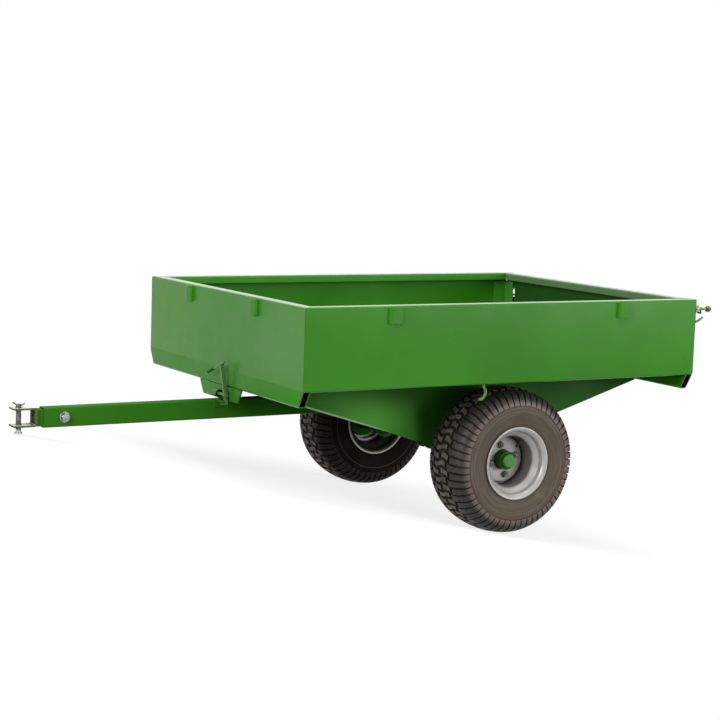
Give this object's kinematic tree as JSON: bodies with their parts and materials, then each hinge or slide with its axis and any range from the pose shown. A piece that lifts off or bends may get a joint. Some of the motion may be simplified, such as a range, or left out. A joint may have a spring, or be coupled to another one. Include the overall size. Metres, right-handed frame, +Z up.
{
  "type": "atv trailer",
  "caption": "Towed tipping trailer with a folded-steel open box, drop tailgate, straight drawbar with clevis hitch and wide turf tyres on dished rims, parked nose-down on its hitch pin.",
  "frame": {"origin": "middle of the bounding box's base, on the ground under the parked trailer", "axes": "+X forward to the hitch, +Y to the trailer's left, +Z up; the wheels spin about +Y"},
  "size_m": [2.0927, 1.096, 0.8614],
  "materials": {
    "box_paint": "satin green paint",
    "frame_paint": "satin green paint",
    "zinc": "bright zinc plating",
    "hitch_steel": "dull yellow-green plating",
    "rim_paint": "silver wheel paint",
    "tyre": "matt black rubber, lightly dusty",
    "valve_rubber": "matt black rubber",
    "cap_green": "glossy green"
  },
  "bodies": {
    "chassis": {"drawbar_tube": "frame_paint", "drawbar_axle_brackets": "frame_paint", "axle_tube": "frame_paint", "stub_axles": "zinc", "clevis_shank": "frame_paint", "clevis_bracket": "hitch_steel", "clevis_bolt": "zinc", "hitch_pin": "hitch_steel", "hitch_pin_clip": "hitch_steel", "latch_catch": "frame_paint"},
    "bed": {"load_floor": "box_paint", "front_panel": "box_paint", "left_side_panel": "box_paint", "right_side_panel": "box_paint", "front_cross_channel": "box_paint", "rear_cross_channel": "box_paint", "left_web_plate": "frame_paint", "right_web_plate": "frame_paint", "axle_pivot_sleeves": "frame_paint", "rear_corner_posts": "box_paint", "stake_pockets": "box_paint", "rope_hooks": "box_paint", "latch_plate": "box_paint", "latch_barrel": "box_paint", "latch_pivot_bolt": "zinc", "latch_lever": "frame_paint", "tailgate_hooks": "hitch_steel", "tailgate_hinge_brackets": "box_paint", "tailgate_hinge_pins": "zinc"},
    "tailgate": {"tailgate_panel": "box_paint", "tailgate_hinge_leaves": "box_paint", "tailgate_latch_levers": "hitch_steel"},
    "left_wheel": {"left_tyre": "tyre", "left_rim": "rim_paint", "left_hub": "frame_paint", "left_hub_cap": "cap_green", "left_wheel_bolts": "zinc", "left_valve_stem": "valve_rubber"},
    "right_wheel": {"right_tyre": "tyre", "right_rim": "rim_paint", "right_hub": "frame_paint", "right_hub_cap": "cap_green", "right_wheel_bolts": "zinc", "right_valve_stem": "valve_rubber"}
  },
  "joints": [
    {"name": "bed_tip", "type": "hinge", "parent": "chassis", "child": "bed", "pos_m": [-0.40086, 0, 0.2285], "axis": [0, -1, 0], "range_deg": [0, 36]},
    {"name": "tailgate_hinge", "type": "hinge", "parent": "bed", "child": "tailgate", "pos_m": [-1.0065, 0, 0.61764], "axis": [0, -1, 0], "range_deg": [0, 175]},
    {"name": "left_wheel_spin", "type": "hinge", "parent": "chassis", "child": "left_wheel", "pos_m": [-0.40086, 0.4256, 0.2285], "axis": [0, 1, 0], "continuous": true},
    {"name": "right_wheel_spin", "type": "hinge", "parent": "chassis", "child": "right_wheel", "pos_m": [-0.40086, -0.4256, 0.2285], "axis": [0, 1, 0], "continuous": true}
  ]
}
